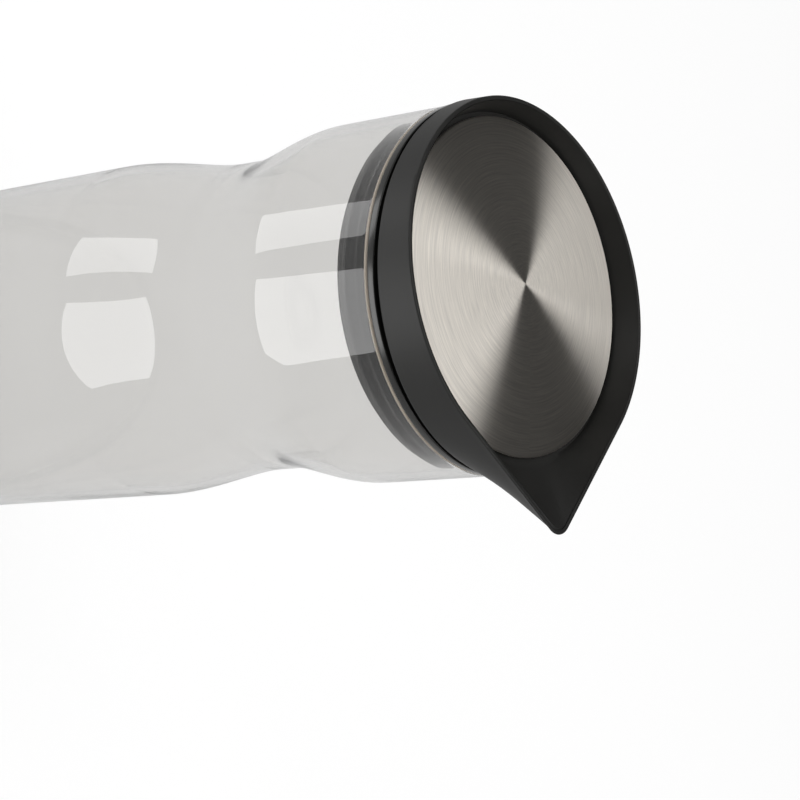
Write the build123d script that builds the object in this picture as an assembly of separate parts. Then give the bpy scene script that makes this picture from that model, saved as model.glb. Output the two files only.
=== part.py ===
from build123d import *
from math import acos, cos, degrees, radians, sin
import os

# Glass carafe with a lid that opens by itself when the carafe is tipped.
# Millimetres, +Z up, origin at the middle of the base, beak of the lid towards +X.

# Glass body
GLASS_HEIGHT = 256.0
NECK_RADIUS = 47.4
WAIST_RADIUS = 42.0
BODY_INSET = 0.4
NECK_BAND = 36.0
SHOULDER_FALL = 31.0
WAIST_BAND = 7.0
FLARE_HEIGHT = 44.0
GLASS_WALL = 2.4
GLASS_FLOOR = 9.0
HEEL_RADIUS = 6.0
WELL_RADIUS = 12.0
RIM_ROUND = 0.9

# Neck seal
SEAL_THICKNESS = 1.5
SEAL_DEPTH = 9.0
RIB_HEIGHT = 0.95
RIB_COUNT = 3
MOUTH_CLEARANCE = 0.15
FLANGE_THICKNESS = 2.2
FLANGE_OVERHANG = 0.2

# Pour collar
COLLAR_OVERHANG = 0.6
GROOVE_HEIGHT = 1.4
GROOVE_DEPTH = 1.8
RIM_RISE = 14.0
RIM_SLANT = 4.6
LIP_WIDTH = 1.2
LIP_BEVEL = 0.35
BAND_BEVEL = 0.4
BEAK_REACH = 63.0
BEAK_TIP_RADIUS = 5.5
BEAK_ROOT_ANGLE = 10.0
DECK_WALL = 3.4
SKIRT_WALL = 3.4
SKIRT_BEAD = 0.8
SKIRT_BEAD_HEIGHT = 1.6
THROAT_LEDGE = 4.0
SEAT_BEVEL = 3.0
SHOULDER_DEPTH = 8.0

# Cover and its carrier
VALVE_TILT = 2.9
COVER_DROP = 5.8
COVER_CROWN = 3.7
COVER_SHEET = 0.6
COVER_EDGE = 0.9
COVER_GAP = 1.2
COVER_REST_GAP = 0.4
COVER_EDGE_ROUND = 0.5
PLATE_THICKNESS = 1.6
SPIGOT_WALL = 2.0
SPIGOT_BEAD = 0.5
RIB_WIDTH = 1.4
CARRIER_RIBS = 8
RIB_DEPTH = 2.4
BOSS_RADIUS = 6.5
VALVE_SEAL_RING = 1.2
SEAT_CLEARANCE = 0.25

# Stem, weight and stop
STEM_RADIUS = 3.0
STEM_SOCKET = 4.0
STEM_TIP = 1.4
STEM_CHAMFER = 0.5
BOSS_DEPTH = 5.5
WEIGHT_RADIUS = 18.0
WEIGHT_HEIGHT = 6.0
WEIGHT_CHAMFER = 1.2
VALVE_TRAVEL = 5.0
BUFFER_RADIUS = 5.6
BUFFER_HEIGHT = 1.6
CLIP_RADIUS = 5.0
CLIP_THICKNESS = 0.8
CLIP_GROOVE = 0.9
CLIP_MOUTH = 70.0

# Strainer basket
STRAINER_WALL = 1.6
STRAINER_FIT = 0.15
STRAINER_RIM = 3.4
SNAP_BEAD = 0.4
BASKET_DEPTH = 5.5
BASKET_TAPER = 5.0
FLOOR_FALL = 1.6
HUB_RADIUS = 5.6
HUB_RISE = 5.6
HUB_DROP = 2.0
GUIDE_CLEARANCE = 0.1
SLOT_WIDTH = 2.4
OUTER_SLOTS = 24
INNER_SLOTS = 12
SLOT_BRIDGE = 2.6

# Heights along the glass
neck_bottom = GLASS_HEIGHT - NECK_BAND
waist_top = neck_bottom - SHOULDER_FALL
waist_bottom = waist_top - WAIST_BAND
body_top = waist_bottom - FLARE_HEIGHT

# Radii and heights of the lid, worked out from the mouth of the glass
mouth_radius = NECK_RADIUS - GLASS_WALL
skirt_radius = mouth_radius - MOUTH_CLEARANCE - RIB_HEIGHT - SEAL_THICKNESS
skirt_bore = skirt_radius - SKIRT_WALL
throat_radius = skirt_bore - THROAT_LEDGE
collar_radius = NECK_RADIUS + COLLAR_OVERHANG
deck_radius = collar_radius - DECK_WALL
cover_radius = deck_radius - COVER_GAP
flange_top = GLASS_HEIGHT + FLANGE_THICKNESS
band_bottom = flange_top + GROOVE_HEIGHT
seal_bottom = GLASS_HEIGHT - SEAL_DEPTH
rim_height = GLASS_HEIGHT + RIM_RISE

# Levels along the tilted axis of the cover, from the plane of its edge
deck_level = -COVER_EDGE - COVER_REST_GAP
bevel_bottom = deck_level - SEAT_BEVEL
shoulder_level = -SHOULDER_DEPTH
boss_bottom = -BOSS_DEPTH
weight_bottom = boss_bottom - WEIGHT_HEIGHT
spigot_radius = throat_radius - VALVE_SEAL_RING - SEAT_CLEARANCE
spigot_bottom = bevel_bottom - SPIGOT_BEAD * 2
basket_side = shoulder_level - STRAINER_RIM
basket_floor = basket_side - BASKET_DEPTH
floor_radius = skirt_bore - STRAINER_FIT - BASKET_TAPER
hub_floor = basket_floor - FLOOR_FALL
hub_bottom = hub_floor - HUB_DROP
hub_top = hub_floor + HUB_RISE
buffer_top = hub_bottom - VALVE_TRAVEL
clip_top = buffer_top - BUFFER_HEIGHT
clip_bottom = clip_top - CLIP_THICKNESS
stem_bottom = clip_bottom - STEM_TIP


def slanted_plane(height, slant):
    lean = radians(slant)
    return Plane(origin=(0, 0, height), x_dir=(cos(lean), 0, sin(lean)), z_dir=(-sin(lean), 0, cos(lean)))


rim_plane = slanted_plane(rim_height, RIM_SLANT)
cover_plane = slanted_plane(rim_height - COVER_DROP, VALVE_TILT)


def turned(points):
    # a solid of revolution about Z from the corners of its half section
    return revolve(make_face(Plane.XZ * Polyline(*points, close=True)), Axis.Z, 360)


def ring(inner, outer, bottom, top):
    return turned([(inner, bottom), (outer, bottom), (outer, top), (inner, top)])


def eased(start, end):
    # a smooth step in radius that leaves and meets its neighbours without a corner
    third = (end[1] - start[1]) / 3
    return Bezier(start, (start[0], start[1] + third), (end[0], end[1] - third), end)


def glass_form(inset, bottom, top):
    body = NECK_RADIUS - BODY_INSET - inset
    waist = WAIST_RADIUS - inset
    neck = NECK_RADIUS - inset
    half = Curve() + [
        Line((0, bottom), (body, bottom)),
        Line((body, bottom), (body, body_top)),
        eased((body, body_top), (waist, waist_bottom)),
        Line((waist, waist_bottom), (waist, waist_top)),
        eased((waist, waist_top), (neck, neck_bottom)),
        Line((neck, neck_bottom), (neck, top)),
        Line((neck, top), (0, top)),
        Line((0, top), (0, bottom)),
    ]
    return revolve(make_face(Plane.XZ * half), Axis.Z, 360)


def edges_at(shape, height):
    return [e for e in shape.edges() if abs(e.center().Z - height) < 0.01 and e.length > GLASS_WALL]


def make_glass_body():
    outside = glass_form(0, 0, GLASS_HEIGHT)
    outside = fillet(edges_at(outside, 0), HEEL_RADIUS)
    inside = glass_form(GLASS_WALL, GLASS_FLOOR, GLASS_HEIGHT)
    inside = fillet(edges_at(inside, GLASS_FLOOR), WELL_RADIUS)
    glass = outside - inside
    return fillet(edges_at(glass, GLASS_HEIGHT), RIM_ROUND)


def make_neck_seal():
    sleeve_radius = skirt_radius + SEAL_THICKNESS
    flange_radius = NECK_RADIUS + FLANGE_OVERHANG
    seal = ring(skirt_radius, flange_radius, GLASS_HEIGHT, flange_top)
    seal += ring(skirt_radius, sleeve_radius, seal_bottom, GLASS_HEIGHT)
    spacing = SEAL_DEPTH / RIB_COUNT
    for index in range(RIB_COUNT):
        height = seal_bottom + spacing * (index + 0.5)
        tip = (sleeve_radius + RIB_HEIGHT, height + RIB_HEIGHT / 2)
        foot = (sleeve_radius, height - RIB_HEIGHT)
        head = (sleeve_radius, height + RIB_HEIGHT)
        root = skirt_radius + SEAL_THICKNESS / 2
        seal += turned([(root, foot[1]), foot, tip, head, (root, head[1])])
    return seal


def beak_outline(inset):
    # plan of the rim: a circle whose sides run straight to a rounded tip on +X
    radius = collar_radius - inset
    tip = BEAK_TIP_RADIUS - inset
    centre = BEAK_REACH - BEAK_TIP_RADIUS
    turn = acos((radius - tip) / centre)
    across = radius * sin(turn)
    along = radius * cos(turn)
    tip_across = tip * sin(turn)
    tip_along = centre + tip * cos(turn)
    return Wire([
        ThreePointArc((along, across), (-radius, 0), (along, -across)).edge(),
        Line((along, -across), (tip_along, -tip_across)).edge(),
        ThreePointArc((tip_along, -tip_across), (centre + tip, 0), (tip_along, tip_across)).edge(),
        Line((tip_along, tip_across), (along, across)).edge(),
    ])


def round_outline(radius):
    # a circle cut in the same four stretches as the beaked outline above it
    centre = BEAK_REACH - BEAK_TIP_RADIUS
    turn = degrees(acos((collar_radius - BEAK_TIP_RADIUS) / centre))
    stops = [turn, 360 - turn, 360 - BEAK_ROOT_ANGLE, 360 + BEAK_ROOT_ANGLE, 360 + turn]
    return Wire([CenterArc((0, 0), radius, a, b - a).edge() for a, b in zip(stops, stops[1:])])


def rim_outline(inset, level):
    return rim_plane * (Pos(0, 0, level) * beak_outline(inset))


def make_pour_collar():
    band_top = band_bottom + BAND_BEVEL
    band = Solid.make_loft([Plane.XY.offset(band_top) * round_outline(collar_radius),
                            rim_outline(0, -LIP_BEVEL), rim_outline(LIP_BEVEL, 0)], True)
    deck = cover_plane * (Pos(0, 0, deck_level) * round_outline(deck_radius))
    cavity = Solid.make_loft([deck, rim_outline(LIP_WIDTH, -LIP_BEVEL),
                              rim_outline(LIP_WIDTH - LIP_BEVEL, 0)], True)
    groove_radius = collar_radius - GROOVE_DEPTH
    bead_radius = skirt_radius + SKIRT_BEAD
    bead_bottom = seal_bottom - SKIRT_BEAD_HEIGHT
    stub = turned([
        (0, band_top), (collar_radius, band_top), (collar_radius - BAND_BEVEL, band_bottom),
        (groove_radius, band_bottom), (groove_radius, flange_top),
        (skirt_radius, flange_top), (skirt_radius, seal_bottom), (bead_radius, seal_bottom),
        (skirt_radius, bead_bottom), (0, bead_bottom),
    ])
    snap_level = basket_side + STRAINER_RIM / 2
    below = bead_bottom - rim_height
    passage = turned([
        (0, deck_level), (throat_radius + SEAT_BEVEL, deck_level), (throat_radius, bevel_bottom),
        (throat_radius, shoulder_level), (skirt_bore, shoulder_level),
        (skirt_bore, snap_level + SNAP_BEAD), (skirt_bore + SNAP_BEAD, snap_level),
        (skirt_bore, snap_level - SNAP_BEAD), (skirt_bore, below), (0, below),
    ])
    return band + stub - cavity - cover_plane * passage


def dome_form(inset, bottom):
    # the domed disc under the top skin, drawn in by inset all round
    crown = COVER_CROWN - inset
    radius = cover_radius - inset
    sphere = (cover_radius ** 2 + COVER_CROWN ** 2) / (2 * COVER_CROWN) - inset
    edge = crown - sphere + (sphere ** 2 - radius ** 2) ** 0.5
    middle = radius / 2
    rise = crown - sphere + (sphere ** 2 - middle ** 2) ** 0.5
    half = Curve() + [
        ThreePointArc((0, crown), (middle, rise), (radius, edge)),
        Line((radius, edge), (radius, bottom)),
        Line((radius, bottom), (0, bottom)),
        Line((0, bottom), (0, crown)),
    ]
    return revolve(make_face(Plane.XZ * half), Axis.Z, 360)


def make_steel_cover():
    outside = dome_form(0, -COVER_EDGE)
    outside = fillet(edges_at(outside, 0), COVER_EDGE_ROUND)
    return cover_plane * (outside - dome_form(COVER_SHEET, -COVER_EDGE))


def make_cover_carrier():
    land_radius = throat_radius + SEAT_BEVEL
    spigot_bore = spigot_radius - SPIGOT_WALL
    under_plate = dome_form(COVER_SHEET + PLATE_THICKNESS, -COVER_EDGE)
    plate = dome_form(COVER_SHEET, -COVER_EDGE) - under_plate
    below = Pos(0, 0, -COVER_EDGE - BOSS_DEPTH)
    ribs = Part()
    for index in range(CARRIER_RIBS):
        turn = Rot(0, 0, 360 * index / CARRIER_RIBS)
        length = spigot_radius - SPIGOT_WALL / 2
        height = COVER_CROWN + RIB_DEPTH
        ribs += turn * Pos(length / 2, 0, COVER_CROWN - height / 2) * Box(length, RIB_WIDTH, height)
    stiffening = ribs + ring(spigot_bore, land_radius, -COVER_EDGE, COVER_CROWN)
    stiffening += ring(spigot_bore, spigot_radius, spigot_bottom, COVER_CROWN)
    stiffening += turned([
        (spigot_bore, bevel_bottom), (spigot_radius, bevel_bottom),
        (spigot_radius + SPIGOT_BEAD, bevel_bottom - SPIGOT_BEAD), (spigot_radius, spigot_bottom),
        (spigot_bore, spigot_bottom),
    ])
    stiffening += ring(0, BOSS_RADIUS, boss_bottom, COVER_CROWN)
    skin = dome_form(COVER_SHEET, -COVER_EDGE - BOSS_DEPTH)
    carrier = plate + (stiffening & skin)
    socket = ring(0, STEM_RADIUS, boss_bottom, boss_bottom + STEM_SOCKET)
    return cover_plane * (carrier - socket)


def make_valve_seal():
    # the bevel stays clear of the seat by the same gap all the way down
    gap = SEAT_CLEARANCE * 2 ** 0.5
    top_radius = throat_radius + SEAT_BEVEL + (-COVER_EDGE - deck_level) - gap
    return cover_plane * turned([
        (spigot_radius, -COVER_EDGE), (top_radius, -COVER_EDGE),
        (throat_radius - gap, bevel_bottom), (spigot_radius, bevel_bottom),
    ])


def make_valve_stem():
    rod = ring(0, STEM_RADIUS, stem_bottom, boss_bottom + STEM_SOCKET)
    ends = [e for e in rod.edges().filter_by(GeomType.CIRCLE)]
    rod = chamfer(ends, STEM_CHAMFER)
    return cover_plane * (rod - ring(STEM_RADIUS - CLIP_GROOVE, CLIP_RADIUS, clip_bottom, clip_top))


def make_valve_weight():
    slug = ring(STEM_RADIUS, WEIGHT_RADIUS, weight_bottom, boss_bottom)
    rims = [e for e in slug.edges().filter_by(GeomType.CIRCLE) if e.radius > STEM_RADIUS + 1]
    return cover_plane * chamfer(rims, WEIGHT_CHAMFER)


def make_stop_buffer():
    return cover_plane * ring(STEM_RADIUS, BUFFER_RADIUS, clip_top, buffer_top)


def make_retaining_clip():
    washer = ring(STEM_RADIUS - CLIP_GROOVE, CLIP_RADIUS, clip_bottom, clip_top)
    half = radians(CLIP_MOUTH / 2)
    reach = CLIP_RADIUS * 2
    corners = [(0, 0), (reach * cos(half), reach * sin(half)), (reach * cos(half), -reach * sin(half))]
    wedge = Pos(0, 0, clip_bottom) * extrude(make_face(Polyline(*corners, close=True)), CLIP_THICKNESS)
    return cover_plane * (washer - wedge)


def slot_ring(count, inner, outer):
    # radial slots through the basket, spread evenly round the hub
    depth = hub_top - hub_bottom
    slot = extrude(SlotOverall(outer - inner, SLOT_WIDTH), depth)
    places = PolarLocations((inner + outer) / 2, count)
    return [Pos(0, 0, hub_bottom) * place * slot for place in places]


def make_strainer_basket():
    rim_radius = skirt_bore - STRAINER_FIT
    snap_level = basket_side + STRAINER_RIM / 2
    basket = turned([
        (rim_radius - STRAINER_WALL, shoulder_level), (rim_radius, shoulder_level),
        (rim_radius, snap_level + SNAP_BEAD), (rim_radius + SNAP_BEAD, snap_level),
        (rim_radius, snap_level - SNAP_BEAD), (rim_radius, basket_side),
        (floor_radius, basket_floor), (STEM_RADIUS, hub_floor),
        (STEM_RADIUS, hub_floor + STRAINER_WALL),
        (floor_radius - STRAINER_WALL, basket_floor + STRAINER_WALL),
        (rim_radius - STRAINER_WALL, basket_side + STRAINER_WALL),
    ])
    middle = (HUB_RADIUS + floor_radius) / 2
    outer_ring = slot_ring(OUTER_SLOTS, middle + SLOT_BRIDGE / 2, floor_radius - SLOT_BRIDGE / 2)
    inner_ring = slot_ring(INNER_SLOTS, HUB_RADIUS + SLOT_BRIDGE, middle - SLOT_BRIDGE / 2)
    basket -= outer_ring + inner_ring
    basket += ring(0, HUB_RADIUS, hub_bottom, hub_top)
    guide = ring(0, STEM_RADIUS + GUIDE_CLEARANCE, hub_bottom, hub_top)
    return cover_plane * (basket - guide)


makers = {
    "glass_body": make_glass_body,
    "neck_seal": make_neck_seal,
    "pour_collar": make_pour_collar,
    "steel_cover": make_steel_cover,
    "cover_carrier": make_cover_carrier,
    "valve_seal": make_valve_seal,
    "valve_stem": make_valve_stem,
    "valve_weight": make_valve_weight,
    "stop_buffer": make_stop_buffer,
    "retaining_clip": make_retaining_clip,
    "strainer_basket": make_strainer_basket,
}

os.makedirs("parts", exist_ok=True)
for name, make in makers.items():
    export_step(make(), f"parts/{name}.step")
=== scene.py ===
import math
import bmesh
import bpy
from mathutils import Matrix, Vector


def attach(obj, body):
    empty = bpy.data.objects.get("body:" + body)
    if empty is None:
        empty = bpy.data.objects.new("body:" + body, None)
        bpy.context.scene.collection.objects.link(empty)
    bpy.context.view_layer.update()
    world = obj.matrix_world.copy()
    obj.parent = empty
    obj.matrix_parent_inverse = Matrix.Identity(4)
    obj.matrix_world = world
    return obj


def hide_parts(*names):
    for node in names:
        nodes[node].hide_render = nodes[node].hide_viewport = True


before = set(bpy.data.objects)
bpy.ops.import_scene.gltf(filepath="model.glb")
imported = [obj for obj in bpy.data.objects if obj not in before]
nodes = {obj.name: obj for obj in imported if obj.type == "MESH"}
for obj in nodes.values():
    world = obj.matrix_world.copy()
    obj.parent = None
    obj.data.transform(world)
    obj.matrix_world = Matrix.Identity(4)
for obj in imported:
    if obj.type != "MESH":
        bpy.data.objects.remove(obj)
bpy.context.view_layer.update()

mm = 0.001
weldDistance = 1e-7
sharpAngle = math.radians(40)


# Meshes from closed loops of points. Sizes are millimetres up to the mesh, which is in metres.

def tilted(height, slant):
    # a plane at this height on the axis, rising towards the beak by slant degrees
    return Matrix.Translation((0, 0, height)) @ Matrix.Rotation(math.radians(-slant), 4, "Y")


def finishMesh(name, work, material):
    bmesh.ops.remove_doubles(work, verts=work.verts, dist=weldDistance)
    bmesh.ops.recalc_face_normals(work, faces=work.faces)
    mesh = bpy.data.meshes.new(name)
    work.to_mesh(mesh)
    work.free()
    mesh.polygons.foreach_set("use_smooth", [True] * len(mesh.polygons))
    piece = bpy.data.objects.new(name, mesh)
    bpy.context.collection.objects.link(piece)
    mesh.materials.append(material)
    return piece


def bridge(name, loops, material, close=True, heights=None):
    # skins neighbouring loops of the same count; heights fills v of the UV map, the turn fills u
    work = bmesh.new()
    layer = work.loops.layers.uv.new("around")
    rows = [[work.verts.new(Vector(p) * mm) for p in loop] for loop in loops]
    count = len(loops[0])
    heights = heights or [k / len(loops) for k in range(len(loops))]
    pairs = list(zip(range(len(rows)), range(1, len(rows))))
    if close:
        pairs.append((len(rows) - 1, 0))
    for a, b in pairs:
        for i in range(count):
            j = (i + 1) % count
            corners = [(a, i, i), (a, j, i + 1), (b, j, i + 1), (b, i, i)]
            face = work.faces.new([rows[row][spot] for row, spot, turn in corners])
            for loop, (row, spot, turn) in zip(face.loops, corners):
                loop[layer].uv = (turn / count, heights[row])
    return finishMesh(name, work, material)


def circle(radius, height, turns, place=None):
    points = [Vector((radius * math.cos(t), radius * math.sin(t), height)) for t in turns]
    return [place @ p for p in points] if place else points


def evenTurns(count):
    return [2 * math.pi * i / count for i in range(count)]


def rounded(corners, steps=5):
    # the half section (radius, height, round) with each corner replaced by its arc
    points = []
    for before, here, after in zip([None] + corners[:-1], corners, corners[1:] + [None]):
        size = here[2] if len(here) > 2 else 0
        if not size or before is None or after is None:
            points.append((here[0], here[1]))
            continue
        corner = Vector(here[:2])
        back = (Vector(before[:2]) - corner).normalized()
        on = (Vector(after[:2]) - corner).normalized()
        half = back.angle(on) / 2
        centre = corner + (back + on).normalized() * size / math.sin(half)
        start = corner + back * size / math.tan(half) - centre
        end = corner + on * size / math.tan(half) - centre
        sweep = start.angle_signed(end)
        for k in range(steps + 1):
            turn = -sweep * k / steps
            points.append((centre.x + start.x * math.cos(turn) - start.y * math.sin(turn),
                           centre.y + start.x * math.sin(turn) + start.y * math.cos(turn)))
    return points


def lathe(name, profile, material, segments, place=None, close=False):
    # turns the profile (radius, height) about the axis; v counts millimetres along the profile
    turns = evenTurns(segments)
    lengths = [0]
    for a, b in zip(profile, profile[1:]):
        lengths.append(lengths[-1] + math.dist(a, b))
    loops = [circle(r, z, turns, place) for r, z in profile]
    return bridge(name, loops, material, close, lengths)


def joined(name, pieces):
    # one mesh from several closed shells that sit on the same body
    work = bmesh.new()
    for piece in pieces:
        work.from_mesh(piece.data)
    mesh = bpy.data.meshes.new(name)
    work.to_mesh(mesh)
    work.free()
    mesh.materials.append(pieces[0].data.materials[0])
    for piece in pieces:
        bpy.data.objects.remove(piece)
    whole = bpy.data.objects.new(name, mesh)
    bpy.context.collection.objects.link(whole)
    return whole


# Geometry Nodes for what repeats

slotEndCorners = 24


def socketOrValue(tree, value, socket):
    if isinstance(value, bpy.types.NodeSocket):
        tree.links.new(value, socket)
    else:
        socket.default_value = value


def worked(tree, operation, first, second):
    node = addNode(tree, "ShaderNodeMath", operation=operation)
    socketOrValue(tree, first, node.inputs[0])
    socketOrValue(tree, second, node.inputs[1])
    return node.outputs[0]


def vectorOf(tree, **parts):
    node = addNode(tree, "ShaderNodeCombineXYZ")
    for axis, value in parts.items():
        socketOrValue(tree, value, node.inputs[axis])
    return node.outputs["Vector"]


def newTree(name, inputs):
    # a tree that takes a shape, one named input for each size, and a material
    tree = bpy.data.node_groups.new(name, "GeometryNodeTree")
    tree.interface.new_socket("Geometry", in_out="INPUT", socket_type="NodeSocketGeometry")
    kinds = {int: "NodeSocketInt", float: "NodeSocketFloat"}
    for label, value in inputs.items():
        socket = tree.interface.new_socket(label, in_out="INPUT", socket_type=kinds[type(value)])
        socket.default_value = value
    tree.interface.new_socket("Material", in_out="INPUT", socket_type="NodeSocketMaterial")
    tree.interface.new_socket("Geometry", in_out="OUTPUT", socket_type="NodeSocketGeometry")
    return tree, addNode(tree, "NodeGroupInput").outputs


def closeTree(tree, given, geometry):
    whole = addNode(tree, "GeometryNodeRealizeInstances")
    finish = addNode(tree, "GeometryNodeSetMaterial")
    output = addNode(tree, "NodeGroupOutput")
    tree.links.new(geometry, whole.inputs["Geometry"])
    tree.links.new(whole.outputs["Geometry"], finish.inputs["Geometry"])
    tree.links.new(given["Material"], finish.inputs["Material"])
    tree.links.new(finish.outputs["Geometry"], output.inputs["Geometry"])


def copiesOn(tree, points, shape, rotation=None):
    copies = addNode(tree, "GeometryNodeInstanceOnPoints")
    tree.links.new(points, copies.inputs["Points"])
    tree.links.new(shape, copies.inputs["Instance"])
    if rotation:
        tree.links.new(rotation, copies.inputs["Rotation"])
    return copies.outputs["Instances"]


def turnedCopies(tree, shape, count):
    # copies of a shape turned evenly about Z
    points = addNode(tree, "GeometryNodePoints")
    tree.links.new(count, points.inputs["Count"])
    index = addNode(tree, "GeometryNodeInputIndex").outputs["Index"]
    turn = worked(tree, "DIVIDE", worked(tree, "MULTIPLY", index, 2 * math.pi), count)
    return copiesOn(tree, points.outputs[0], shape, vectorOf(tree, Z=turn))


def slotShape(tree, start, end, width, middle, depth):
    # a straight slot with round ends, from start to end along X
    half = worked(tree, "MULTIPLY", width, 0.5)
    ends = addNode(tree, "GeometryNodeJoinGeometry")
    for spot in (worked(tree, "ADD", start, half), worked(tree, "SUBTRACT", end, half)):
        post = addNode(tree, "GeometryNodeMeshCylinder", {"Vertices": slotEndCorners})
        tree.links.new(half, post.inputs["Radius"])
        tree.links.new(depth, post.inputs["Depth"])
        moved = addNode(tree, "GeometryNodeTransform")
        tree.links.new(post.outputs["Mesh"], moved.inputs["Geometry"])
        tree.links.new(vectorOf(tree, X=spot, Z=middle), moved.inputs["Translation"])
        tree.links.new(moved.outputs["Geometry"], ends.inputs[0])
    hull = addNode(tree, "GeometryNodeConvexHull")
    tree.links.new(ends.outputs[0], hull.inputs[0])
    return hull.outputs[0]


def stackTree(values):
    # copies of the incoming shape, one above the other
    tree, given = newTree("stackedCopies", values)
    line = addNode(tree, "GeometryNodeMeshLine")
    tree.links.new(given["Count"], line.inputs["Count"])
    tree.links.new(vectorOf(tree, Z=given["First Level"]), line.inputs["Start Location"])
    tree.links.new(vectorOf(tree, Z=given["Spacing"]), line.inputs["Offset"])
    closeTree(tree, given, copiesOn(tree, line.outputs["Mesh"], given["Geometry"]))
    return tree


def slotTree(values):
    # two rings of slots cut through the incoming shape
    tree, given = newTree("radialSlots", values)
    cut = addNode(tree, "GeometryNodeMeshBoolean", operation="DIFFERENCE", solver="EXACT")
    tree.links.new(given["Geometry"], cut.inputs["Mesh 1"])
    for ring in ("Outer", "Inner"):
        slot = slotShape(tree, given[ring + " Start"], given[ring + " End"], given["Slot Width"],
                         given["Middle Level"], given["Depth"])
        whole = addNode(tree, "GeometryNodeRealizeInstances")
        tree.links.new(turnedCopies(tree, slot, given[ring + " Count"]), whole.inputs["Geometry"])
        tree.links.new(whole.outputs["Geometry"], cut.inputs["Mesh 2"])
    closeTree(tree, given, cut.outputs["Mesh"])
    return tree


def grown(piece, tree, values, material):
    # runs the tree on the piece once and keeps the plain mesh
    modifier = piece.modifiers.new(tree.name, "NODES")
    modifier.node_group = tree
    for item in tree.interface.items_tree:
        if item.in_out == "INPUT" and item.name in values:
            modifier[item.identifier] = values[item.name]
        if item.in_out == "INPUT" and item.name == "Material":
            modifier[item.identifier] = material
    graph = bpy.context.evaluated_depsgraph_get()
    mesh = bpy.data.meshes.new_from_object(
        piece.evaluated_get(graph), preserve_all_data_layers=True, depsgraph=graph)
    piece.modifiers.clear()
    piece.data = mesh
    return piece


# Materials

def newMaterial(name):
    material = bpy.data.materials.new(name)
    material.use_nodes = True
    tree = material.node_tree
    return material, tree, tree.nodes["Principled BSDF"]


def addNode(tree, kind, values=None, **settings):
    node = tree.nodes.new(kind)
    for key, value in settings.items():
        setattr(node, key, value)
    for key, value in (values or {}).items():
        node.inputs[key].default_value = value
    return node


def noiseOn(tree, source, scale, detail=3, roughness=0.55, stretch=(1, 1, 1)):
    mapping = addNode(tree, "ShaderNodeMapping", {"Scale": stretch})
    noise = addNode(tree, "ShaderNodeTexNoise", {"Scale": scale, "Detail": detail, "Roughness": roughness})
    tree.links.new(source, mapping.inputs["Vector"])
    tree.links.new(mapping.outputs["Vector"], noise.inputs["Vector"])
    return noise.outputs["Fac"]


def ranged(tree, source, low, high):
    node = addNode(tree, "ShaderNodeMapRange", {"To Min": low, "To Max": high})
    tree.links.new(source, node.inputs["Value"])
    return node.outputs["Result"]


def tinted(tree, source, dark, light):
    # the noise goes from dark to light over the middle of its range
    ramp = addNode(tree, "ShaderNodeValToRGB")
    for stop, spot, colour in zip(ramp.color_ramp.elements, (0.35, 0.7), (dark, light)):
        stop.position = spot
        stop.color = (*colour, 1)
    tree.links.new(source, ramp.inputs["Fac"])
    return ramp.outputs["Color"]


def bumped(tree, shader, source, strength, depth):
    bump = addNode(tree, "ShaderNodeBump", {"Strength": strength, "Distance": depth})
    tree.links.new(source, bump.inputs["Height"])
    tree.links.new(bump.outputs["Normal"], shader.inputs["Normal"])


glassLook = {
    "ior": 1.47, "clearTint": (0.93, 0.924, 0.912), "rimTint": (0.80, 0.70, 0.58), "rimRoughness": 0.3,
    "rimClearness": 0.5, "wave": 22, "waveStretch": (1, 1, 0.35), "waveStrength": 0.2, "waveDepth": 0.0006,
    "depthColour": (0.5, 0.49, 0.47), "depthDensity": 24,
}


def clearGlass(name, colour, roughness, clearness):
    # clear glass with slow waves in it, which darkens with the length of the way through
    material, tree, shader = newMaterial(name)
    place = addNode(tree, "ShaderNodeTexCoord").outputs["Object"]
    shader.inputs["Base Color"].default_value = (*colour, 1)
    shader.inputs["Transmission Weight"].default_value = clearness
    shader.inputs["Roughness"].default_value = roughness
    shader.inputs["IOR"].default_value = glassLook["ior"]
    waves = noiseOn(tree, place, glassLook["wave"], 2, 0.4, glassLook["waveStretch"])
    bumped(tree, shader, waves, glassLook["waveStrength"], glassLook["waveDepth"])
    depth = addNode(tree, "ShaderNodeVolumeAbsorption", {
        "Color": (*glassLook["depthColour"], 1), "Density": glassLook["depthDensity"]})
    tree.links.new(depth.outputs[0], tree.nodes["Material Output"].inputs["Volume"])
    return material


collarLook = {"dark": (0.0082, 0.008, 0.0072), "light": (0.0122, 0.012, 0.0109), "rough": (0.46, 0.56)}
innerLook = {"dark": (0.022, 0.022, 0.022), "light": (0.03, 0.03, 0.03), "rough": (0.38, 0.5)}
plasticLook = {"specular": 0.34, "cloud": 45, "grain": 3200, "grainStrength": 0.25, "grainDepth": 0.00004}


def mouldedPlastic(name, look):
    material, tree, shader = newMaterial(name)
    place = addNode(tree, "ShaderNodeTexCoord").outputs["Object"]
    cloud = noiseOn(tree, place, plasticLook["cloud"], 4)
    tree.links.new(tinted(tree, cloud, look["dark"], look["light"]), shader.inputs["Base Color"])
    tree.links.new(ranged(tree, cloud, *look["rough"]), shader.inputs["Roughness"])
    shader.inputs["Specular IOR Level"].default_value = plasticLook["specular"]
    grain = noiseOn(tree, place, plasticLook["grain"], 2, 0.6)
    bumped(tree, shader, grain, plasticLook["grainStrength"], plasticLook["grainDepth"])
    return material


siliconeLook = {
    "dark": (0.005, 0.005, 0.0045), "light": (0.009, 0.009, 0.008), "rough": (0.16, 0.24), "specular": 0.45,
    "cloud": 60, "skin": 900, "skinStrength": 0.08, "skinDepth": 0.00002,
}


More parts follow.
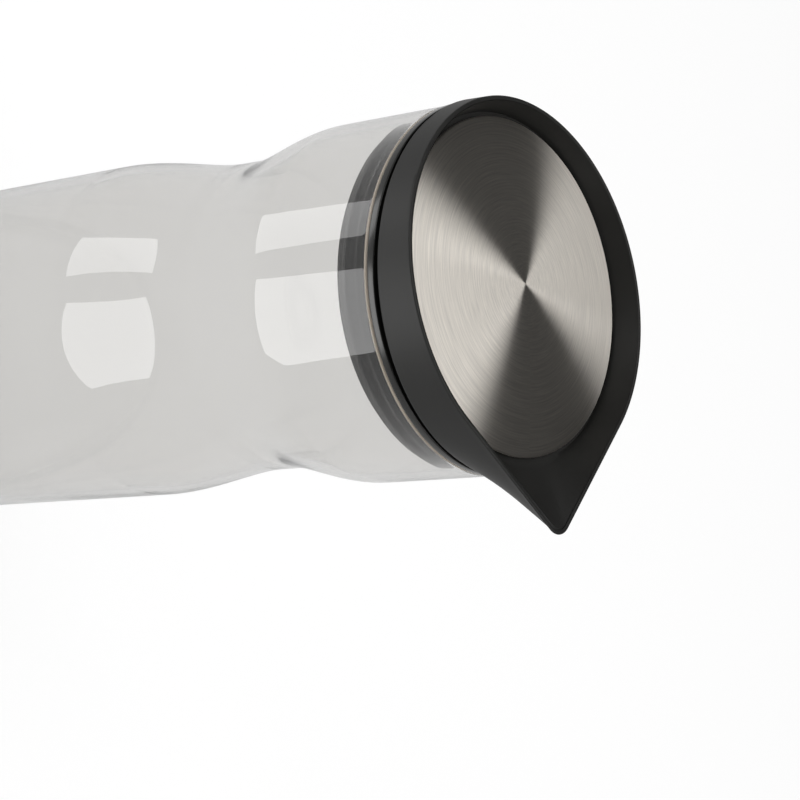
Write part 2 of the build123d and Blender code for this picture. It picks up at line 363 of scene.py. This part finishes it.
def softSilicone():
    material, tree, shader = newMaterial("darkSilicone")
    place = addNode(tree, "ShaderNodeTexCoord").outputs["Object"]
    cloud = noiseOn(tree, place, siliconeLook["cloud"], 3)
    colour = tinted(tree, cloud, siliconeLook["dark"], siliconeLook["light"])
    tree.links.new(colour, shader.inputs["Base Color"])
    tree.links.new(ranged(tree, cloud, *siliconeLook["rough"]), shader.inputs["Roughness"])
    shader.inputs["Specular IOR Level"].default_value = siliconeLook["specular"]
    skin = noiseOn(tree, place, siliconeLook["skin"], 2)
    bumped(tree, shader, skin, siliconeLook["skinStrength"], siliconeLook["skinDepth"])
    return material


turnedLook = {
    "dark": (0.625, 0.592, 0.545), "light": (0.835, 0.79, 0.72), "rough": (0.35, 0.44), "anisotropy": 1.0,
    "alongRings": 0.25, "fineRings": (12, 2.4, 1), "coarseRings": (3, 0.8, 1),
    "strength": 0.35, "depth": 0.00002,
}


def turnedSteel():
    # rings of the turning follow v of the cover's own UV map, which counts millimetres from the middle
    material, tree, shader = newMaterial("turnedSteel")
    around = addNode(tree, "ShaderNodeUVMap", uv_map="around").outputs["UV"]
    fine = noiseOn(tree, around, 1, 4, 0.72, turnedLook["fineRings"])
    coarse = noiseOn(tree, around, 1, 3, 0.6, turnedLook["coarseRings"])
    tree.links.new(tinted(tree, fine, turnedLook["dark"], turnedLook["light"]), shader.inputs["Base Color"])
    tree.links.new(ranged(tree, coarse, *turnedLook["rough"]), shader.inputs["Roughness"])
    shader.inputs["Metallic"].default_value = 1
    shader.inputs["Anisotropic"].default_value = turnedLook["anisotropy"]
    shader.inputs["Anisotropic Rotation"].default_value = turnedLook["alongRings"]
    tangent = addNode(tree, "ShaderNodeTangent", direction_type="UV_MAP", uv_map="around")
    tree.links.new(tangent.outputs["Tangent"], shader.inputs["Tangent"])
    bumped(tree, shader, fine, turnedLook["strength"], turnedLook["depth"])
    return material


groundLook = {
    "dark": (0.5, 0.5, 0.5), "light": (0.66, 0.66, 0.65), "rough": (0.22, 0.36), "marks": 900,
    "stretch": (0.12, 0.12, 1), "strength": 0.15, "depth": 0.00002,
}


def groundSteel():
    material, tree, shader = newMaterial("groundSteel")
    place = addNode(tree, "ShaderNodeTexCoord").outputs["Object"]
    marks = noiseOn(tree, place, groundLook["marks"], 3, 0.6, groundLook["stretch"])
    tree.links.new(tinted(tree, marks, groundLook["dark"], groundLook["light"]), shader.inputs["Base Color"])
    tree.links.new(ranged(tree, marks, *groundLook["rough"]), shader.inputs["Roughness"])
    shader.inputs["Metallic"].default_value = 1
    bumped(tree, shader, marks, groundLook["strength"], groundLook["depth"])
    return material


materials = {
    "glass": clearGlass("clearGlass", glassLook["clearTint"], 0, 1),
    "glassRim": clearGlass(
        "groundGlassRim", glassLook["rimTint"], glassLook["rimRoughness"], glassLook["rimClearness"]),
    "collar": mouldedPlastic("mattBlackPlastic", collarLook),
    "inner": mouldedPlastic("darkGreyPlastic", innerLook),
    "silicone": softSilicone(),
    "cover": turnedSteel(),
    "steel": groundSteel(),
}
print("materials made")


# Glass body

glass = {
    "height": 256.0, "body": 47.0, "waist": 42.0, "neck": 47.4, "wall": 2.4, "floor": 9.0,
    "neckBottom": 220.0, "waistTop": 189.0, "waistBottom": 182.0, "bodyTop": 138.0,
    "heel": 6.0, "well": 12.0, "rimRound": 0.95, "groundRim": 1.0, "margin": 2.0,
    "bodyRows": 8, "neckRows": 6, "segments": 256,
}


def eased(low, high, steps=20):
    # the smooth step in radius between two straight stretches, without its ends
    points = []
    for k in range(1, steps):
        t = k / steps
        points.append((low[0] + (high[0] - low[0]) * t * t * (3 - 2 * t), low[1] + (high[1] - low[1]) * t))
    return points


def glassSide(inset, bottom):
    # body, waist and neck from the bottom up, as far as the margin below the rim
    body = glass["body"] - inset
    waist = glass["waist"] - inset
    neck = glass["neck"] - inset
    rows = glass["bodyRows"]
    side = [(body, bottom + (glass["bodyTop"] - bottom) * k / rows) for k in range(1, rows + 1)]
    side += eased((body, glass["bodyTop"]), (waist, glass["waistBottom"]))
    side += [(waist, glass["waistBottom"]), (waist, glass["waistTop"])]
    side += eased((waist, glass["waistTop"]), (neck, glass["neckBottom"]))
    rows = glass["neckRows"]
    band = glass["height"] - glass["margin"] - glass["neckBottom"]
    side += [(neck, glass["neckBottom"] + band * k / rows) for k in range(rows + 1)]
    return side


def makeGlass():
    # outside from the base to the rim, then inside back down to the floor
    body = glass["body"]
    inBody = body - glass["wall"]
    neck = glass["neck"]
    inNeck = neck - glass["wall"]
    top = glass["height"]
    below = top - glass["margin"]
    outer = rounded([(0, 0), (body, 0, glass["heel"]), (body, glass["bodyTop"])], 10)[:-1]
    outer += glassSide(0, glass["heel"] + glass["margin"])
    rim = rounded([(neck, below), (neck, top, glass["rimRound"]),
                   (inNeck, top, glass["rimRound"]), (inNeck, below)], 8)[1:-1]
    inside = rounded([(0, glass["floor"]), (inBody, glass["floor"], glass["well"]),
                      (inBody, glass["bodyTop"])], 14)[:-1]
    inside += glassSide(glass["wall"], glass["floor"] + glass["well"] + glass["margin"])
    profile = outer + rim + inside[::-1]
    piece = lathe("carafeGlass", profile, materials["glass"], glass["segments"])
    piece.data.materials.append(materials["glassRim"])
    for face in piece.data.polygons:
        if face.center.z > (glass["height"] - glass["groundRim"]) * mm:
            face.material_index = 1
    return piece


glassPiece = makeGlass()
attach(glassPiece, "carafe")
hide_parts("glass_body")
print("glass made")


# Neck seal

seal = {
    "inside": 42.4, "sleeve": 43.9, "flangeRadius": 47.6, "flangeTop": 258.2, "bottom": 244.8,
    "edge": 0.35, "ribs": 3, "ribSpacing": 3.7, "ribTip": 44.85, "ribRound": 0.2, "ribRoot": 0.3,
    "ribLow": -1.0, "ribCrest": 0.45, "ribHigh": 0.95, "segments": 200,
}


def makeSeal():
    top = glass["height"]
    profile = rounded([
        (seal["inside"], seal["bottom"] + 1), (seal["inside"], seal["bottom"], seal["edge"] / 2),
        (seal["sleeve"], seal["bottom"], seal["edge"] / 2), (seal["sleeve"], top),
        (seal["flangeRadius"], top, seal["edge"]), (seal["flangeRadius"], seal["flangeTop"], seal["edge"]),
        (seal["inside"], seal["flangeTop"]),
    ], 4)
    sleeve = lathe("sealSleeve", profile, materials["silicone"], seal["segments"], close=True)
    root = seal["sleeve"] - seal["ribRoot"]
    rib = rounded([(root, seal["ribLow"]), (seal["sleeve"], seal["ribLow"]),
                   (seal["ribTip"], seal["ribCrest"], seal["ribRound"]),
                   (seal["sleeve"], seal["ribHigh"]), (root, seal["ribHigh"])], 5)
    ribs = lathe("sealRibs", rib, materials["silicone"], seal["segments"], close=True)
    sizes = {"Count": seal["ribs"], "Spacing": seal["ribSpacing"] * mm,
             "First Level": (seal["bottom"] + seal["ribSpacing"] / 2) * mm}
    grown(ribs, stackTree(sizes), sizes, materials["silicone"])
    return joined("ribbedNeckSeal", [sleeve, ribs])


sealPiece = makeSeal()
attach(sealPiece, "lid")
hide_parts("neck_seal")
print("seal made")


# Pour collar

collar = {
    "radius": 48.0, "bandBottom": 259.6, "rimHeight": 270.0, "rimSlant": 4.6, "lip": 1.2, "lipRound": 0.4,
    "beakReach": 63.0, "tipRound": 5.5, "rootAngle": 10.0, "coverDrop": 5.8, "coverSlant": 2.9,
    "deckRadius": 44.6, "deckLevel": -1.3, "seatBevel": 3.0, "throat": 35.0, "shoulder": -8.0, "bore": 39.0,
    "grooveRadius": 46.2, "skirt": 42.4, "bead": 43.2, "beadHeight": 1.6, "edge": 0.35, "edgeMiddle": 0.3,
    "wallRows": 10, "lipRows": 6, "innerWallEnd": 0.97, "outerWallStart": 0.05, "outerWallShare": 0.9,
}
rimPlace = tilted(collar["rimHeight"], collar["rimSlant"])
coverPlace = tilted(collar["rimHeight"] - collar["coverDrop"], collar["coverSlant"])
beakTurn = math.acos((collar["radius"] - collar["tipRound"]) / (collar["beakReach"] - collar["tipRound"]))
beakSteps = {"round": 220, "side": 28, "tip": 16}


def spread(start, end, count):
    return [start + (end - start) * k / count for k in range(count)]


def baseTurns():
    # the turns of a round loop, cut in the same four stretches as the rim above it
    root = math.radians(collar["rootAngle"])
    full = 2 * math.pi
    turns = spread(beakTurn, full - beakTurn, beakSteps["round"])
    turns += spread(full - beakTurn, full - root, beakSteps["side"])
    turns += spread(full - root, full + root, beakSteps["tip"])
    return turns + spread(full + root, full + beakTurn, beakSteps["side"])


def rimLoop(inset, level=0):
    # the beaked outline in the slanted plane of the rim, drawn in by inset
    radius = collar["radius"] - inset
    tip = collar["tipRound"] - inset
    centre = collar["beakReach"] - collar["tipRound"]
    wide = Vector((radius * math.cos(beakTurn), radius * math.sin(beakTurn), 0))
    narrow = Vector((centre + tip * math.cos(beakTurn), tip * math.sin(beakTurn), 0))
    mirrored = Vector((1, -1, 1))
    shares = spread(0, 1, beakSteps["side"])
    points = circle(radius, 0, spread(beakTurn, 2 * math.pi - beakTurn, beakSteps["round"]))
    points += [(wide * mirrored).lerp(narrow * mirrored, share) for share in shares]
    points += [Vector((centre + tip * math.cos(t), tip * math.sin(t), 0))
               for t in spread(-beakTurn, beakTurn, beakSteps["tip"])]
    points += [narrow.lerp(wide, share) for share in shares]
    lift = Vector((0, 0, level))
    return [rimPlace @ (p + lift) for p in points]


def between(low, high, share):
    return [a.lerp(b, share) for a, b in zip(low, high)]


def makeCollar():
    # inner wall up, over the lip, outer wall down, the groove and skirt under it, and up the passage again
    turns = baseTurns()
    edge = collar["edge"]
    halfEdge = edge * collar["edgeMiddle"]
    deck = circle(collar["deckRadius"], collar["deckLevel"], turns, coverPlace)
    base = circle(collar["radius"], collar["bandBottom"], turns)
    lip = collar["lip"]
    lipRound = collar["lipRound"]
    innerTop = rimLoop(lip)
    outerTop = rimLoop(0)
    rows = collar["wallRows"]
    loops = [between(deck, innerTop, (k / rows) * collar["innerWallEnd"]) for k in range(rows + 1)]
    lipTurns = [math.pi / 2 * k / collar["lipRows"] for k in range(collar["lipRows"] + 1)]
    loops += [rimLoop(lip - lipRound * (1 - math.cos(t)), lipRound * (math.sin(t) - 1)) for t in lipTurns]
    loops += [rimLoop(lipRound * (1 - math.sin(t)), lipRound * (math.cos(t) - 1)) for t in lipTurns]
    start = collar["outerWallStart"]
    share = collar["outerWallShare"]
    loops += [between(outerTop, base, start + share * k / rows) for k in range(rows + 1)]
    lower = [
        (collar["radius"], collar["bandBottom"] + edge),
        (collar["radius"] - halfEdge, collar["bandBottom"] + halfEdge),
        (collar["radius"] - edge, collar["bandBottom"]), (collar["grooveRadius"], collar["bandBottom"]),
        (collar["grooveRadius"], seal["flangeTop"]), (collar["skirt"], seal["flangeTop"]),
        (collar["skirt"], seal["bottom"]), (collar["bead"], seal["bottom"]),
        (collar["skirt"], seal["bottom"] - collar["beadHeight"]),
        (collar["bore"], seal["bottom"] - collar["beadHeight"]),
    ]
    loops += [circle(r, z, turns) for r, z in lower]
    passage = [
        (collar["bore"], collar["shoulder"]), (collar["throat"], collar["shoulder"]),
        (collar["throat"], collar["deckLevel"] - collar["seatBevel"]),
        (collar["throat"] + collar["seatBevel"], collar["deckLevel"]),
    ]
    loops += [circle(r, z, turns, coverPlace) for r, z in passage]
    piece = bridge("pourCollarShell", loops, materials["collar"])
    piece.data.set_sharp_from_angle(angle=sharpAngle)
    return piece


collarPiece = makeCollar()
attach(collarPiece, "lid")
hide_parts("pour_collar")
print("collar made")


# Steel cover

cover = {
    "radius": 43.4, "crown": 3.7, "sheet": 0.6, "edge": 0.9, "edgeRound": 0.5, "hemRound": 0.15,
    "rows": 48, "segments": 256,
}


def domeHeight(radius, inset):
    # height of the dome, or of its underside when inset is the sheet, above the plane of its edge
    sphere = (cover["radius"] ** 2 + cover["crown"] ** 2) / (2 * cover["crown"])
    return cover["crown"] - sphere + math.sqrt((sphere - inset) ** 2 - radius ** 2)


def makeCover():
    radii = [cover["radius"] * k / cover["rows"] for k in range(cover["rows"])]
    top = [(radius, domeHeight(radius, 0)) for radius in radii]
    inside = cover["radius"] - cover["sheet"]
    corners = [top[-1], (cover["radius"], domeHeight(cover["radius"], 0), cover["edgeRound"]),
               (cover["radius"], -cover["edge"], cover["hemRound"]),
               (inside, -cover["edge"], cover["hemRound"]),
               (inside, domeHeight(inside, cover["sheet"])), (0, domeHeight(0, cover["sheet"]))]
    profile = top + rounded(corners, 6)[1:]
    return lathe("turnedCover", profile, materials["cover"], cover["segments"], coverPlace)


coverPiece = makeCover()
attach(coverPiece, "valve")
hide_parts("steel_cover")
print("cover made")


# Strainer basket

basket = {
    "rim": 38.85, "wall": 1.6, "top": -8.0, "side": -11.4, "floor": -16.9, "floorRadius": 33.85, "fall": 1.6,
    "snap": 0.4, "hub": 5.6, "hubTop": -12.9, "hubBottom": -20.5, "guide": 3.1,
    "slotWidth": 2.4, "slotDepth": 7.0, "outerSlots": 24, "innerSlots": 12,
    "outerStart": 21.0, "outerEnd": 32.5, "innerStart": 8.2, "innerEnd": 18.4, "segments": 144,
}


def makeBasket():
    # drawn upright around the cover's middle, slotted, then leaned like the cover
    rim = basket["rim"]
    wall = basket["wall"]
    lean = basket["fall"] * (basket["hub"] / basket["floorRadius"])
    under = basket["floor"] - basket["fall"] + lean
    snapLevel = (basket["top"] + basket["side"]) / 2
    profile = rounded([
        (basket["guide"], basket["hubTop"]), (basket["hub"], basket["hubTop"], 0.3),
        (basket["hub"], under + wall, 0.5), (basket["floorRadius"] - wall, basket["floor"] + wall, 1.0),
        (rim - wall, basket["side"] + wall, 0.6), (rim - wall, basket["top"], 0.2), (rim, basket["top"], 0.3),
        (rim, snapLevel + basket["snap"]), (rim + basket["snap"], snapLevel, 0.1),
        (rim, snapLevel - basket["snap"]),
        (rim, basket["side"], 0.5), (basket["floorRadius"], basket["floor"], 1.2),
        (basket["hub"], under, 0.5), (basket["hub"], basket["hubBottom"], 0.3),
        (basket["guide"], basket["hubBottom"]),
    ], 5)
    piece = lathe("slottedStrainer", profile, materials["inner"], basket["segments"], close=True)
    sizes = {
        "Outer Count": basket["outerSlots"], "Inner Count": basket["innerSlots"],
        "Slot Width": basket["slotWidth"] * mm, "Outer Start": basket["outerStart"] * mm,
        "Outer End": basket["outerEnd"] * mm, "Inner Start": basket["innerStart"] * mm,
        "Inner End": basket["innerEnd"] * mm, "Middle Level": (basket["floor"] + wall / 2) * mm,
        "Depth": basket["slotDepth"] * mm,
    }
    grown(piece, slotTree(sizes), sizes, materials["inner"])
    piece.data.transform(Matrix.Translation(coverPlace.translation * mm) @ coverPlace.to_3x3().to_4x4())
    piece.data.set_sharp_from_angle(angle=sharpAngle)
    return piece


basketPiece = makeBasket()
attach(basketPiece, "lid")
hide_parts("strainer_basket")
print("strainer made")


# CAD nodes that keep their own shape

kept = {
    "cover_carrier": "inner", "valve_seal": "silicone", "valve_stem": "steel", "valve_weight": "steel",
    "stop_buffer": "silicone", "retaining_clip": "steel",
}
for node, finish in kept.items():
    for slot in nodes[node].material_slots:
        slot.material = materials[finish]
print("kept nodes dressed")


# Floor, lights and camera

stage = {
    "floorSize": 14.0, "floorColour": (0.8, 0.8, 0.8), "shownColour": (0.26, 0.26, 0.26),
    "ownLight": 0.77, "throughGlass": 0.52, "worldLight": 0.23, "horizonGloss": 0.45, "horizonTop": 0.15,
    "cameraSpot": (0.06118, -0.48319, 0.6204), "cameraAzimuth": 4.156, "cameraElevation": 39.167,
    "cameraRoll": 84.92, "lens": 107.78,
}
roomLight = {"Is Glossy Ray": 0.073, "Is Transmission Ray": 0.55, "Is Camera Ray": 0.84}
lamps = {
    "overheadBox": {"spot": (0.07, 0.08, 1.50), "aim": (0.07, 0.08, 0), "width": (0.98, 0.18, 0),
                    "size": (2.9, 0.9), "power": 21.5},
    "frontBox": {"spot": (-0.9, -1.2, 0.55), "aim": (0, 0, 0.2), "width": (0.8, -0.6, 0),
                 "size": (0.5, 0.9), "power": 4},
    "sideBox": {"spot": (1.3, -0.6, 0.55), "aim": (0, 0, 0.2), "width": (0.4, 0.9, 0),
                "size": (0.5, 0.9), "power": 2},
    "lowFrontStrip": {"spot": (0.05, -0.27, 0.075), "aim": (0, -0.04, 0.24), "width": (1, 0.1, 0),
                      "size": (0.23, 0.13), "power": 0.37, "reflectionOnly": True},
    "lowSideStrip": {"spot": (-0.181, -0.20, 0.075), "aim": (0, -0.04, 0.24), "width": (0.743, -0.669, 0),
                     "size": (0.10, 0.13), "power": 0.127, "reflectionOnly": True},
}


def blended(tree, factor, low, high):
    # low where the factor is zero, high where it is one
    mix = addNode(tree, "ShaderNodeMix", data_type="FLOAT")
    tree.links.new(factor, mix.inputs["Factor"])
    socketOrValue(tree, low, mix.inputs[2])
    socketOrValue(tree, high, mix.inputs[3])
    return mix.outputs[0]


def seenRays(tree, rays):
    # one where the camera, a reflection or a refraction looks
    direct = worked(tree, "MAXIMUM", rays["Is Camera Ray"], rays["Is Glossy Ray"])
    return worked(tree, "MAXIMUM", direct, rays["Is Transmission Ray"])


def makeFloor():
    # lights the object as a pale matt floor, and looks almost white with the object's shadow on it
    bpy.ops.mesh.primitive_plane_add(size=stage["floorSize"])
    floor = bpy.context.object
    floor.name = "paleFloor"
    material = bpy.data.materials.new("paleFloor")
    material.use_nodes = True
    tree = material.node_tree
    tree.nodes.clear()
    matt = addNode(tree, "ShaderNodeBsdfDiffuse", {"Color": (*stage["floorColour"], 1)})
    shown = addNode(tree, "ShaderNodeBsdfDiffuse", {"Color": (*stage["shownColour"], 1)})
    own = addNode(tree, "ShaderNodeEmission")
    rays = addNode(tree, "ShaderNodeLightPath").outputs
    glow = blended(tree, rays["Is Camera Ray"], stage["throughGlass"], stage["ownLight"])
    tree.links.new(glow, own.inputs["Strength"])
    both = addNode(tree, "ShaderNodeAddShader")
    mix = addNode(tree, "ShaderNodeMixShader")
    output = addNode(tree, "ShaderNodeOutputMaterial")
    tree.links.new(shown.outputs[0], both.inputs[0])
    tree.links.new(own.outputs[0], both.inputs[1])
    tree.links.new(seenRays(tree, rays), mix.inputs["Fac"])
    tree.links.new(matt.outputs[0], mix.inputs[1])
    tree.links.new(both.outputs[0], mix.inputs[2])
    tree.links.new(mix.outputs[0], output.inputs["Surface"])
    floor.data.materials.append(material)


def makeWorld():
    # each kind of ray meets its own strength; gloss meets a pale horizon under a dark ceiling
    world = bpy.data.worlds.new("paleRoom")
    bpy.context.scene.world = world
    world.use_nodes = True
    tree = world.node_tree
    tree.nodes.clear()
    place = addNode(tree, "ShaderNodeTexCoord")
    height = addNode(tree, "ShaderNodeSeparateXYZ")
    tree.links.new(place.outputs["Generated"], height.inputs["Vector"])
    ceiling = addNode(tree, "ShaderNodeMapRange", {
        "From Max": stage["horizonTop"], "To Min": stage["horizonGloss"],
        "To Max": roomLight["Is Glossy Ray"]})
    tree.links.new(height.outputs["Z"], ceiling.inputs["Value"])
    rays = addNode(tree, "ShaderNodeLightPath").outputs
    strength = stage["worldLight"]
    for ray, value in {**roomLight, "Is Glossy Ray": ceiling.outputs["Result"]}.items():
        strength = blended(tree, rays[ray], strength, value)
    light = addNode(tree, "ShaderNodeBackground", {"Color": (1, 1, 1, 1)})
    output = addNode(tree, "ShaderNodeOutputWorld")
    tree.links.new(strength, light.inputs["Strength"])
    tree.links.new(light.outputs[0], output.inputs["Surface"])


def makeLamp(name, facts):
    # an area light at its spot, facing its aim, with its first size along width
    data = bpy.data.lights.new(name, "AREA")
    data.shape = "RECTANGLE"
    data.size, data.size_y = facts["size"]
    data.energy = facts["power"]
    lamp = bpy.data.objects.new(name, data)
    bpy.context.collection.objects.link(lamp)
    if "reflectionOnly" in facts:
        lamp.visible_camera = False
        lamp.visible_transmission = False
    back = (Vector(facts["spot"]) - Vector(facts["aim"])).normalized()
    up = back.cross(Vector(facts["width"])).normalized()
    turn = Matrix((up.cross(back), up, back)).transposed().to_4x4()
    lamp.matrix_world = Matrix.Translation(facts["spot"]) @ turn


def makeCamera():
    data = bpy.data.cameras.new("photoCamera")
    data.lens = stage["lens"]
    camera = bpy.data.objects.new("photoCamera", data)
    bpy.context.collection.objects.link(camera)
    turn = Matrix.Rotation(math.radians(stage["cameraAzimuth"]), 4, "Z")
    tip = Matrix.Rotation(math.radians(90 - stage["cameraElevation"]), 4, "X")
    roll = Matrix.Rotation(math.radians(stage["cameraRoll"]), 4, "Z")
    camera.matrix_world = Matrix.Translation(stage["cameraSpot"]) @ turn @ tip @ roll
    bpy.context.scene.camera = camera


makeFloor()
makeWorld()
for name, facts in lamps.items():
    makeLamp(name, facts)
makeCamera()
bpy.context.scene.view_settings.view_transform = "Standard"
print("stage made")
